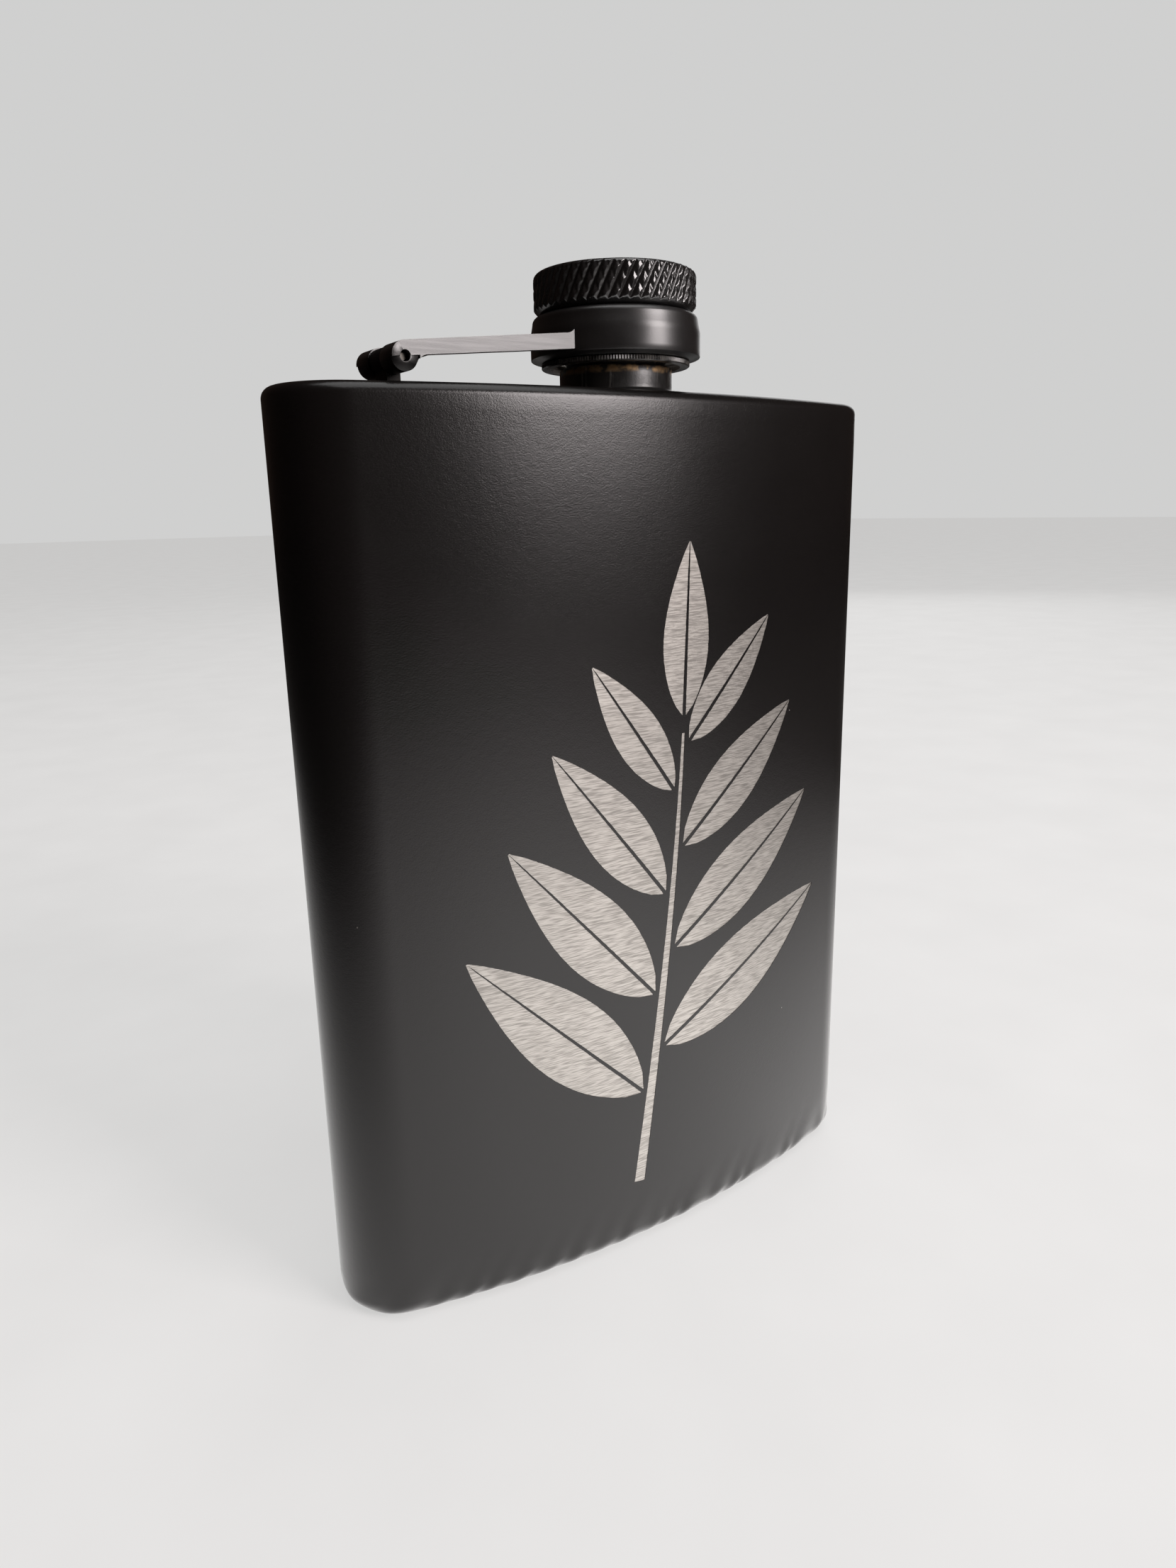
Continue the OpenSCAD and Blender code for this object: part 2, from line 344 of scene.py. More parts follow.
def sleeve_finish():
    """The sleeve: coated outside and on its flange, rubbed on the serrations, bare in the thread."""
    coat, steel_dark, steel_light = (0.01, 0.0095, 0.009, 1), (0.4, 0.38, 0.35, 1), (0.52, 0.5, 0.46, 1)
    s = Shader("sleeve_finish", IOR=1.5)
    place = s.add("SeparateXYZ", {"Vector": s.coords})
    flat = s.add("CombineXYZ", {"X": place.outputs["X"], "Y": place.outputs["Y"]}).outputs["Vector"]
    radius = s.add("VectorMath", {0: flat}, operation="LENGTH").outputs["Value"]
    bare = s.ramp(radius, 0.0089, 0.0087)
    blotch = s.noise(900, 3.0, 0.6)
    edge = s.ramp(s.add("NewGeometry").outputs["Pointiness"], 0.52, 0.6)
    rubbed = s.math("MULTIPLY", edge, s.ramp(blotch, 0.4, 0.6))
    metal = s.math("MAXIMUM", bare, s.math("MULTIPLY", rubbed, 0.22))
    color = s.mix(metal, coat, s.mix(blotch, steel_dark, steel_light))
    rings = s.noise(7000, 3.0, 0.6, s.scaled(0.05, 0.05, 1.0))
    return s.set(Base_Color=color, Metallic=metal, Roughness=s.ramp(blotch, 0.3, 0.7, 0.26, 0.36),
                 Normal=s.bump(rings, 0.000012, 0.6))


def turned_steel():
    """Turned steel of the pin, its colour darkened as painted shade for the shaded hole it sits in."""
    s = Shader("turned_steel", Metallic=1.0)
    rings = s.noise(7000, 3.0, 0.6, s.scaled(0.05, 0.05, 1.0))
    blotch = s.noise(500, 3.0)
    # Painted shade: the steel's colour is kept very dark, so the pin's ends look shaded in their holes.
    color = s.mix(blotch, (0.06, 0.055, 0.05, 1), (0.12, 0.112, 0.1, 1))
    return s.set(Base_Color=color, Roughness=s.ramp(blotch, 0.3, 0.7, 0.4, 0.55),
                 Normal=s.bump(rings, 0.000012, 0.6))


def engraved_steel():
    """Steel laid bare by a laser that marked it in fine, almost level, broken lines."""
    steel_dark, steel_light = (0.23, 0.218, 0.202, 1), (0.42, 0.4, 0.373, 1)
    line_tilt = (0.0, 0.045, 0.0)
    s = Shader("engraved_steel", Metallic=1.0)
    level = s.add("Mapping", {"Vector": s.coords, "Rotation": line_tilt, "Scale": (0.06, 0.06, 1.0)})
    lines = s.noise(8000, 1.0, 0.5, level.outputs["Vector"])
    grit = s.noise(4200, 3.0, 0.6)
    cloud = s.noise(150, 3.0)
    bright = s.math("MULTIPLY", s.ramp(lines, 0.36, 0.6), s.ramp(grit, 0.3, 0.6, 0.8, 1.0))
    tone = s.math("MULTIPLY", bright, s.ramp(cloud, 0.3, 0.7, 0.85, 1.0))
    normal = s.bump(lines, 0.00002, 0.5, s.bump(grit, 0.00002, 0.4))
    return s.set(Base_Color=s.mix(tone, steel_dark, steel_light), Roughness=s.ramp(grit, 0.3, 0.7, 0.4, 0.54),
                 Normal=normal)


def silicone():
    """Matte translucent-white sealing washer."""
    s = Shader("silicone", Subsurface_Weight=0.15, Subsurface_Radius=(0.0012, 0.001, 0.0008))
    blotch = s.noise(400, 3.0)
    fine = s.noise(6000, 2.0)
    color = s.mix(blotch, (0.66, 0.64, 0.58, 1), (0.78, 0.76, 0.71, 1))
    return s.set(Base_Color=color, Roughness=s.ramp(fine, 0.3, 0.7, 0.5, 0.62),
                 Normal=s.bump(fine, 0.00002, 0.4))


# Height above the body of the neck's rubbed line, which carries a painted warm highlight.
RUB_AND_GLINT_ABOVE_BODY = 2.75
COAT = powder_coat()
NECK_COAT = neck_coat((BODY_H + RUB_AND_GLINT_ABOVE_BODY) * MM)
HEAD_COAT = turned_coat("head_coat", 0.17, 0.22)
COLLAR_COAT = turned_coat("collar_coat", 0.3, 0.35)
ARM_COAT = arm_coat(HINGE_X * MM, HINGE_Z * MM)
WELD_COAT = weld_coat()
SLEEVE = sleeve_finish()
TURNED_STEEL = turned_steel()
ENGRAVED = engraved_steel()
SILICONE = silicone()


# ---------------------------------------------------------------- body: plan, wall and plates

FRONT_STEPS = 140
END_STEPS = 44
WALL_ROWS = 64
HOLE_STEPS = 96
RIPPLE_TOP = 8.8
RIPPLE_FULL = 1.2
RIPPLE_PITCH = 4.4
RIPPLE_DEPTH = 0.105
RIPPLE_LEAN = 0.8
DENT_DEPTH = 0.3


def plan_stations():
    """(mid-line point, outward normal, distance along the front) round the plan, from the front's left."""
    stations = []
    for i in range(FRONT_STEPS):
        a = -BEND_A + 2 * BEND_A * i / FRONT_STEPS
        n = Vector((math.sin(a), -math.cos(a)))
        stations.append((Vector((0, BEND_R)) + n * BEND_R, n, a * FRONT_R))
    for i in range(END_STEPS):
        a = -math.pi / 2 + BEND_A + math.pi * i / END_STEPS
        stations.append((Vector((END_X, END_Y)), Vector((math.cos(a), math.sin(a))), None))
    for i in range(FRONT_STEPS):
        a = BEND_A - 2 * BEND_A * i / FRONT_STEPS
        n = Vector((-math.sin(a), math.cos(a)))
        stations.append((Vector((0, BEND_R)) - n * BEND_R, n, None))
    for i in range(END_STEPS):
        a = math.pi / 2 - BEND_A + math.pi * i / END_STEPS
        stations.append((Vector((-END_X, END_Y)), Vector((math.cos(a), math.sin(a))), None))
    return stations


def ripple(x, y, z):
    """How far the wrinkled foot of the wall stands in or out, where the sheet was drawn in."""
    if z > RIPPLE_TOP:
        return 0.0
    fade = smoothstep(0.0, RIPPLE_FULL, z) * (1 - smoothstep(RIPPLE_FULL + 0.6, RIPPLE_TOP, z))
    lean = x - RIPPLE_LEAN * z
    drift = noise.noise(Vector((lean * 0.12, y * 0.12, 3.1)))
    strength = 0.85 + 0.9 * noise.noise(Vector((lean * 0.22, y * 0.22, 7.7)))
    wave = math.sin(TURN * lean / RIPPLE_PITCH + 5.0 * drift)
    return fade * (RIPPLE_DEPTH * strength * wave + DENT_DEPTH * drift)


def wall_section():
    """The wall's closed section, outer face upwards from the foot, then the inner face down. Also gives
    where the outer face's straight rows start in it, and their heights."""
    foot_c = (HALF_T - FOOT_EDGE_R, FOOT_EDGE_R)
    top_c = (HALF_T - TOP_EDGE_R, BODY_H - TOP_EDGE_R)
    outer = [(FOOT_LIP, SEAM_R), (FOOT_LIP + SEAM_MID, SEAM_MID), (FOOT_LIP + SEAM_R, 0)]
    outer += arc(*foot_c, FOOT_EDGE_R, -90, 0, 10)
    rows = [FOOT_EDGE_R + (top_c[1] - FOOT_EDGE_R) * i / WALL_ROWS for i in range(1, WALL_ROWS)]
    first_row = len(outer)
    outer += [(HALF_T, z) for z in rows]
    outer += arc(*top_c, TOP_EDGE_R, 0, 90, 8)
    outer += [(TOP_LIP + SEAM_R, BODY_H), (TOP_LIP + SEAM_MID, BODY_H - SEAM_MID), (TOP_LIP, BODY_H - SEAM_R)]
    inner = [(TOP_LIP, BODY_H - SHEET_T)]
    inner += arc(*top_c, TOP_EDGE_R - SHEET_T, 90, 0, 4)
    inner += arc(*foot_c, FOOT_EDGE_R - SHEET_T, 0, -90, 6)
    inner += [(FOOT_LIP, SHEET_T)]
    return outer + inner, first_row, rows


def front_point(s, z, depth=0.0):
    """A point on the bulging front: s along it from the middle, z up, depth under the surface."""
    a = s / FRONT_R
    r = FRONT_R - depth
    return (r * math.sin(a), BEND_R - r * math.cos(a), z)


# ---------------------------------------------------------------- the engraved sprig

SPRIG_MID = (0.0, 56.0)
STEM_STEPS = 40
STEM_END = 0.8
TIP_START = 0.83
LEAF_PAIRS = 4
LEAF_STEPS = 18
COAT_DEPTH = 0.06
POCKET_DEPTH = 0.22
VEIN_W = 0.55
RAGGED_STEP = 0.4
RAGGED_REACH = 0.045
RAGGED_PER_MM = 2.3


def ragged(points, key):
    """Cuts an outline into short steps and makes its edge slightly uneven, as a laser leaves it."""
    out = []
    n = len(points)
    for i in range(n):
        a, b = Vector(points[i]), Vector(points[(i + 1) % n])
        steps = max(1, int((b - a).length / RAGGED_STEP))
        for k in range(steps):
            p = a.lerp(b, k / steps)
            shift_x, shift_y = (noise.noise(Vector((p.x * RAGGED_PER_MM, p.y * RAGGED_PER_MM, key + layer)))
                                for layer in (0.0, 50.0))
            out.append((p.x + RAGGED_REACH * shift_x, p.y + RAGGED_REACH * shift_y))
    return out


def counter_clockwise(outline):
    """The outline in the turning sense that the triangulation wants."""
    area = sum(a[0] * b[1] - b[0] * a[1] for a, b in zip(outline, outline[1:] + outline[:1]))
    return outline if area > 0 else outline[::-1]


def half_leaf(base, direction, length, width, side):
    """One side of a leaf: its outer edge is an arc-like bow, its inner edge runs beside the vein."""
    along = Vector(direction).normalized()
    across = Vector((-along.y, along.x)) * side
    outer, inner = [], []
    for i in range(LEAF_STEPS + 1):
        t = i / LEAF_STEPS
        bow = math.sin(math.pi * t ** 0.82) ** 0.9 if 0 < t < 1 else 0.0
        vein = 0.5 * VEIN_W * (1 - t) ** 0.5
        p = Vector(base) + along * (length * t) + across * (vein + 0.5 * width * bow + 0.12)
        q = Vector(base) + along * (length * t) + across * vein
        outer.append((p.x, p.y))
        inner.append((q.x, q.y))
    return outer + inner[::-1]


def stem_point(t):
    """The sprig's stem: a gentle bow, from its foot at t = 0 to its tip at t = 1."""
    x = SPRIG_MID[0] - 4.0 + 9.0 * math.sin(1.5 * t)
    z = SPRIG_MID[1] - 45 + 87 * t
    return Vector((x, z))


def sprig_outlines():
    """All outlines of the sprig, in front coordinates (distance along the front, height)."""
    stem_l, stem_r = [], []
    for i in range(STEM_STEPS + 1):
        t = i / STEM_STEPS * STEM_END
        p, q = stem_point(t), stem_point(t + 0.01)
        side = (q - p).normalized().orthogonal()
        width = 1.7 * (1 - t) + 0.2
        stem_l.append(tuple(p + side * width * 0.5))
        stem_r.append(tuple(p - side * width * 0.5))
    outlines = [stem_l + stem_r[::-1]]
    for i in range(LEAF_PAIRS):
        up = i / (LEAF_PAIRS - 1)
        for hand in (-1, 1):
            t = 0.16 + 0.53 * up + (0.08 if hand > 0 else 0.0)
            p, q = stem_point(t), stem_point(t + 0.01)
            heading = math.atan2(q.x - p.x, q.y - p.y) + hand * math.radians(54 - 14 * up)
            direction = Vector((math.sin(heading), math.cos(heading)))
            size = 1 - 0.4 * up ** 1.3
            for side in (-1, 1):
                outlines.append(half_leaf(p + direction * 2.1, direction, 38 * size, 11.4 * size, side))
    tip = stem_point(TIP_START)
    for side in (-1, 1):
        outlines.append(half_leaf(tip, stem_point(0.9) - tip, 24, 7.6, side))
    return [ragged(o, 3.7 * k) for k, o in enumerate(outlines)]


def build_wall():
    """The wall with the sprig cut through its coat, and the bare steel left in the cut."""
    stations = plan_stations()
    section, first_row, rows = wall_section()
    loops = []
    for mid, normal, _ in stations:
        loop = []
        for out, z in section:
            p = mid + normal * out
            if out > HALF_T - FOOT_EDGE_R and z < RIPPLE_TOP and out > FOOT_LIP + 1:
                share = smoothstep(HALF_T - FOOT_EDGE_R, HALF_T, out)
                p = mid + normal * (out + ripple(p.x, p.y, z) * share)
            loop.append((p.x, p.y, z))
        loops.append(loop)
    verts, faces = loft(loops)

    # The part of the front that holds the sprig is taken out of the grid, and filled again below.
    m = len(section)
    col_low, col_high = 4, FRONT_STEPS - 4
    row_low, row_high = 2, WALL_ROWS - 8

    def grid_index(col, row):
        return col * m + first_row + row

    cut = set()
    for col in range(col_low, col_high):
        for row in range(row_low, row_high):
            cut.add(frozenset((grid_index(col, row), grid_index(col, row + 1),
                               grid_index(col + 1, row + 1), grid_index(col + 1, row))))
    faces = [f for f in faces if frozenset(f) not in cut]

    flat, edges, polygons = [], [], []
    index = {}
    for col in range(col_low, col_high + 1):
        for row in range(row_low, row_high + 1):
            index[col, row] = len(flat)
            flat.append(Vector((stations[col][2], rows[row])))
    for col in range(col_low, col_high):
        edges += [(index[col, row], index[col + 1, row]) for row in (row_low, row_high)]
    for row in range(row_low, row_high):
        edges += [(index[col, row], index[col, row + 1]) for col in (col_low, col_high)]
    for outline in sprig_outlines():
        outline = counter_clockwise(outline)
        polygons.append(list(range(len(flat), len(flat) + len(outline))))
        flat += [Vector(p) for p in outline]
    points, _, tris, _, _, origin = geometry.delaunay_2d_cdt(flat, edges, polygons, 0, 1e-5, True)

    # Inside an outline the wall goes down to the pocket's floor, and the steel stands in the pocket.
    n = len(points)
    base = len(verts)
    low_base = base + n
    pocket_floor = [front_point(p.x, p.y, POCKET_DEPTH) for p in points]
    verts = verts + [front_point(p.x, p.y) for p in points] + pocket_floor
    steel_verts = [front_point(p.x, p.y, COAT_DEPTH) for p in points] + pocket_floor
    steel_faces = []
    rim_edges = {}
    for tri, source in zip(tris, origin):
        if source:
            faces.append(tuple(low_base + i for i in tri))
            steel_faces.append(tuple(tri))
            steel_faces.append(tuple(n + i for i in reversed(tri)))
            for a, b in zip(tri, tri[1:] + tri[:1]):
                key = frozenset((a, b))
                rim_edges[key] = None if key in rim_edges else (a, b)
        else:
            faces.append(tuple(base + i for i in tri))
    for edge in rim_edges.values():
        if edge:
            a, b = edge
            faces.append((base + a, base + b, low_base + b, low_base + a))
            steel_faces.append((a, b, n + b, n + a))
    wall, steel = compact(verts, faces), compact(steel_verts, steel_faces)
    make_piece("body_wall_coated", *wall, "flask", "body_wall", "black_coat", COAT, 40)
    make_piece("front_engraving", *steel, "flask", None, "bare_steel", ENGRAVED, 40)


def build_plate(name, node, low, high, reach, faces_up, hole_r=None):
    """A flat plate inside the wall's lip, with its outer edge rounded into the seam."""
    stations = plan_stations()
    sign = 1 if faces_up else -1
    face_z, back_z = (high, low) if faces_up else (low, high)
    edge = [(reach, back_z), (reach, face_z - sign * SEAM_R),
            (reach - SEAM_MID, face_z - sign * SEAM_MID), (reach - SEAM_R, face_z)]
    flat = [mid + normal * (reach - SEAM_R) for mid, normal, _ in stations]
    rings = [list(range(len(flat)))]
    hole = []
    if hole_r:
        hole = list(range(len(flat), len(flat) + HOLE_STEPS))
        flat += [Vector(p) for p in circle(hole_r, HOLE_STEPS)]
        rings.append(hole)
    points, _, tris, _, _, origin = geometry.delaunay_2d_cdt(flat, [], rings, 1, 1e-5, True)
    kept = [t for t, source in zip(tris, origin) if source == [0]]

    verts = [(p.x, p.y, face_z) for p in points]
    back = len(verts)
    for mid, normal, _ in stations:
        for out, z in edge:
            p = mid + normal * out
            verts.append((p.x, p.y, z))
    low_verts = len(verts)
    verts += [(p.x, p.y, back_z) for p in points]

    n, m = len(stations), len(edge)
    faces = [tuple(t) for t in kept]
    for i in range(n):
        for k in range(m - 1):
            a, b = back + i * m + k, back + ((i + 1) % n) * m + k
            faces.append((a, b, b + 1, a + 1))
    faces += [tuple(low_verts + i for i in reversed(t)) for t in kept]
    for i in range(n):
        j = (i + 1) % n
        faces.append((low_verts + i, low_verts + j, back + j * m, back + i * m))
    for a, b in zip(hole, hole[1:] + hole[:1]):
        faces.append((a, b, low_verts + b, low_verts + a))
    make_piece(name, verts, faces, "flask", node, "black_coat", COAT, 40)


# ---------------------------------------------------------------- neck and cap

NECK_ROOT = 6.65
THREAD_R = 7.25
BOSS_R = 7.6
BOSS_H = 3.2
MOUTH_R = 5.4


def tooth(phase):
    """A rounded thread ridge: 1 on the crest, 0 in the root, for a phase of 0 to 1."""
    return smoothstep(0.16, 0.62, 1 - abs(2 * (phase % 1.0) - 1))


def neck_section(angle):
    """The neck at one angle: spigot, weld bead, boss, relief, helical thread, rounded mouth and bore."""
    low, top = neck_low.z - BODY_H, neck_high.z - BODY_H
    bead = 0.1 * noise.noise(Vector((math.cos(angle) * 4, math.sin(angle) * 4, 1.3)))
    section = [(SPIGOT_R, low), (SPIGOT_R, 0.0), (BOSS_R + 0.36 + bead, 0.0)]
    section += [(BOSS_R + 0.26 + bead, 0.14), (BOSS_R + 0.1, 0.24), (BOSS_R + 0.02, 0.38)]
    section += [(BOSS_R, 0.5 + 0.3 * i) for i in range(5)]
    section += [(BOSS_R, BOSS_H - 0.2), (BOSS_R - 0.06, BOSS_H - 0.06), (BOSS_R - 0.2, BOSS_H)]
    section += [(NECK_ROOT + 0.1, BOSS_H + 0.02), (NECK_ROOT, BOSS_H + 0.12)]
    start, end = BOSS_H + 0.5, top - 0.75
    rows = 84
    for i in range(rows + 1):
        z = start + (end - start) * i / rows
        fade = smoothstep(start, start + 0.9, z) * (1 - smoothstep(end - 0.7, end, z))
        ridge = fade * tooth(z / THREAD_PITCH - angle / TURN)
        section.append((NECK_ROOT + (THREAD_R - NECK_ROOT) * ridge, z))
    section += arc(NECK_ROOT - 0.5, top - 0.5, 0.5, 0, 90, 6)
    section += arc(MOUTH_R + 0.25, top - 0.25, 0.25, 90, 180, 4)
    section += [(MOUTH_R, top - 3), (MOUTH_R, low + 0.2), (MOUTH_R + 0.2, low)]
    return section


KNURLS = 48
KNURL_RISE = 2.8
KNURL_DEPTH = 0.31
RIGHT_GROOVES = 0.42
LEFT_GROOVES = 1.0
GROOVE_FLOOR = 0.04
GROOVE_WALL = 0.66
HEAD_EDGE_R = 0.85
RECESS_R = 9.12


def knurl(angle, z):
    """How far the knurled face is cut in: two crossing families of slanted grooves, one of them shallower."""
    around, up = KNURLS * angle / TURN, z / KNURL_RISE
    cut = 0.0
    for turns, share in ((around + up, RIGHT_GROOVES), (around - up, LEFT_GROOVES)):
        gap = abs(2 * (turns % 1.0) - 1)
        cut = max(cut, share * (1 - min(1.0, max(0.0, (1 - gap - GROOVE_FLOOR) / GROOVE_WALL))))
    rough = 0.08 * noise.noise(Vector((math.cos(angle) * 20, math.sin(angle) * 20, z * 2.2)))
    return KNURL_DEPTH * min(1.0, cut * (1 + rough))


def head_section(angle):
    """The knurled head at one angle, closed down the axis side of its recess."""
    low, high = head_low.z - BODY_H, head_high.z - BODY_H
    ceiling = sleeve_high.z - BODY_H
    band_low, band_high = low + 0.85, high - HEAD_EDGE_R
    section = [(RECESS_R, ceiling), (RECESS_R, low + 0.1), (RECESS_R + 0.1, low), (HEAD_R - 0.95, low),
               (HEAD_R - 0.8, low + 0.06)]
    rows = 46
    for i in range(rows + 1):
        z = band_low - 0.62 + (band_high - band_low + 0.62) * i / rows
        chamfer = HEAD_R - max(0.0, band_low - z) * 0.94
        cutter = HEAD_R - knurl(angle, z)
        section.append((min(chamfer, cutter), z))
    edge_steps = 12
    for i in range(1, edge_steps + 1):
        a = math.radians(90 * i / edge_steps)
        r = HEAD_R - HEAD_EDGE_R + HEAD_EDGE_R * math.cos(a)
        z = band_high + HEAD_EDGE_R * math.sin(a)
        drop = max(0.0, knurl(angle, z) - (HEAD_R - r))
        section.append((r - drop * math.cos(a), z - drop * math.sin(a) * 0.6))
    section += [(r, high) for r in (9.4, 8.6, 6.0, 3.0, 0.6, 0.05)]
    section += [(0.05, ceiling), (4.5, ceiling)]
    return section


def collar_section(angle):
    """The collar at one angle: chamfered foot, plain band, rounded shoulder with fine radial cuts."""
    low, high = collar_low.z - BODY_H, collar_high.z - BODY_H
    bore = 9.18
    neck_r = COLLAR_R - 0.3
    shoulder = 0.85
    section = [(bore, low + 0.12), (bore + 0.12, low), (COLLAR_R - 1.2, low), (COLLAR_R - 1.08, low + 0.05)]
    section += [(COLLAR_R - 0.14, low + 0.33), (COLLAR_R - 0.04, low + 0.39), (COLLAR_R, low + 0.5)]
    section += [(COLLAR_R, low + 0.5 + 0.6 * i) for i in range(1, 5)]
    section += [(COLLAR_R, 7.5), (COLLAR_R - 0.09, 7.9), (COLLAR_R - 0.2, 8.45)]
    section += arc(neck_r - shoulder, high - shoulder, shoulder, 0, 90, 10)
    cuts = high - (0.03 * max(0.0, math.sin(angle * 150)) + 0.02 * max(0.0, math.sin(angle * 97 + 1)))
    section += [(neck_r - shoulder - 0.25, cuts), (bore + 0.15, cuts), (bore, high - 0.15)]
    return section


def sleeve_section(angle):
    """The sleeve at one angle: serrated flange, plain outside, washer seat, helical inner thread."""
    low, high = sleeve_low.z - BODY_H, sleeve_high.z - BODY_H
    seat = gasket_low.z - BODY_H
    outside, washer_r, root, crest = 9.1, 8.1, 8.4, 7.9
    top = low + 0.7
    rim = FLANGE_R - 0.09 * abs(math.sin(angle * 84)) ** 0.7
    section = [(8.75, low), (rim - 0.16, low), (rim, low + 0.12), (rim, top - 0.12), (rim - 0.14, top)]
    section += [(outside + 0.05, top), (outside, top + 0.05), (outside, high)]
    section += [(washer_r, high), (washer_r, seat - 0.4)]
    start, end = seat - 0.6, low + 0.4
    rows = 70
    for i in range(rows + 1):
        z = start + (end - start) * i / rows
        fade = smoothstep(end, end + 0.7, z) * (1 - smoothstep(start - 0.7, start, z))
        section.append((root - (root - crest) * fade * tooth(z / THREAD_PITCH - angle / TURN + 0.5), z))
    return section


def gasket_section(angle):
    """The washer, the same at every angle: a disc with a soft edge and the ring that the mouth pressed in."""
    low, high = gasket_low.z - BODY_H, gasket_high.z - BODY_H
    r = 8.08
    section = [(0.05, low + 0.01), (4.9, low + 0.01), (5.2, low + 0.05), (5.7, low + 0.1), (6.3, low + 0.1)]
    section += [(6.7, low + 0.05), (7.0, low + 0.01)]
    section += arc(r - 0.25, low + 0.26, 0.25, -90, 0, 4)
    section += arc(r - 0.1, high - 0.1, 0.1, 0, 90, 3)
    section += [(0.05, high)]
    return section


def build_turned_pieces():
    """The neck and the cap's four round pieces. Each row is a name, a section, the segments round it, a
    body, a node, a slot, a material, and the angle up to which it is shaded smooth."""
    parts = (
        ("neck_threaded", neck_section, 224, "flask", "neck", "neck_coat", NECK_COAT, 35),
        ("cap_head_knurled", head_section, 768, "cap", "cap_head", "cap_coat", HEAD_COAT, 50),
        ("cap_collar_turned", collar_section, 600, "arm", "cap_collar", "cap_coat", COLLAR_COAT, 30),
        ("thread_sleeve_turned", sleeve_section, 336, "cap", "thread_sleeve", "sleeve_coat", SLEEVE, 35),
        ("cap_gasket_soft", gasket_section, 96, "cap", "cap_gasket", "gasket_silicone", SILICONE, 35),
    )
    for name, section, segments, *rest in parts:
        make_piece(name, *lathe(section, segments), *rest)


# ---------------------------------------------------------------- hinge

TOP_DEG = 5.6
LOW_DEG = 5.1
ARM_TOP_SLOPE = math.radians(TOP_DEG)
ARM_LOW_SLOPE = math.radians(LOW_DEG)
HOLE_R = 0.66
SLOT_R = EAR_R + 0.35
SLOT_SIDE_PLAY = 0.2
WEB_START = 2.6
BAR_BEVEL = 0.14
BASE_BEVEL = 0.1
UNDER_START = 3.4
UNDER_TILT = math.radians(6)
UNDER_DROP = 0.12
FLARE_H = 0.75
FLARE_W = 1.6
BASE_HALF_W = 0.9
WELD_W = 0.35
WELD_H = 0.32
COLLAR_STEPS = 256


def scratch_solid(name, verts, faces, join_flat=False):
    """A closed solid in metres, to carve or to carve with. join_flat joins its triangles in one plane."""
    mesh = bpy.data.meshes.new(name)
    mesh.from_pydata(verts, [], faces)
    bm = bmesh.new()
    bm.from_mesh(mesh)
    bmesh.ops.recalc_face_normals(bm, faces=bm.faces)
    if join_flat:
        bmesh.ops.dissolve_limit(bm, angle_limit=math.radians(0.5), verts=bm.verts, edges=bm.edges)
    bm.to_mesh(mesh)
    bm.free()
    solid = bpy.data.objects.new(name, mesh)
    bpy.context.scene.collection.objects.link(solid)
    return solid


def side_solid(name, outline, holes, width):
    """A side-view outline about the pin, drawn out across the flask's depth."""
    flat = [Vector(p) for p in counter_clockwise(outline)]
    rings = [list(range(len(flat)))]
    for hole in holes:
        rings.append(list(range(len(flat), len(flat) + len(hole))))
        flat += [Vector(p) for p in hole]
    points, _, tris, _, _, origin = geometry.delaunay_2d_cdt(flat, [], rings, 1, 1e-5, True)
    keep = [t for t, source in zip(tris, origin) if source == [0]]
    n = len(points)
    verts = [((HINGE_X + p.x) * MM, side * width / 2 * MM, (HINGE_Z + p.y) * MM)
             for side in (-1, 1) for p in points]
    faces = [tuple(t) for t in keep] + [tuple(n + i for i in reversed(t)) for t in keep]
    for ring in rings:
        faces += [(a, b, n + b, n + a) for a, b in zip(ring, ring[1:] + ring[:1])]
    return scratch_solid(name, verts, faces, join_flat=True)


def carve(solid, cutters, bevel):
    """Cuts solids away, softens the sharp edges, and gives back the finished mesh."""
    for cutter in cutters:
        cut = solid.modifiers.new("cut", "BOOLEAN")
        cut.operation = "DIFFERENCE"
        cut.solver = "EXACT"
        cut.object = cutter
    soft = solid.modifiers.new("soft", "BEVEL")
    soft.width = bevel * MM
    soft.segments = 3
    soft.limit_method = "ANGLE"
    soft.angle_limit = math.radians(32)
    soft.use_clamp_overlap = True
    depsgraph = bpy.context.evaluated_depsgraph_get()
    mesh = bpy.data.meshes.new_from_object(solid.evaluated_get(depsgraph))
    for scrap in [solid] + cutters:
        bpy.data.objects.remove(scrap)
    return mesh


def ear_cutter(side):
    """Cuts the lower half of the ear's cheek to a shallow cone round the pin, a step below the bar's face."""
    face = ARM_W / 2
    rim = EAR_R + 0.15
    profile = [(0.3, face - 0.08), (HOLE_R + 0.12, face - 0.1), (1.45, face - 0.24), (rim, face - 0.42),
               (rim, face + 0.6), (0.3, face + 0.6)]
    steps, n = 36, len(profile)
    verts = []
    for i in range(steps + 1):
        a = ARM_LOW_SLOPE - math.pi * i / steps
        verts += [((HINGE_X + r * math.cos(a)) * MM, side * y * MM, (HINGE_Z + r * math.sin(a)) * MM)
                  for r, y in profile]
    faces = [tuple(range(n)), tuple(range(steps * n, (steps + 1) * n))]
    faces += [(i * n + k, i * n + (k + 1) % n, (i + 1) * n + (k + 1) % n, (i + 1) * n + k)
              for i in range(steps) for k in range(n)]
    return scratch_solid("ear_cut", verts, faces)


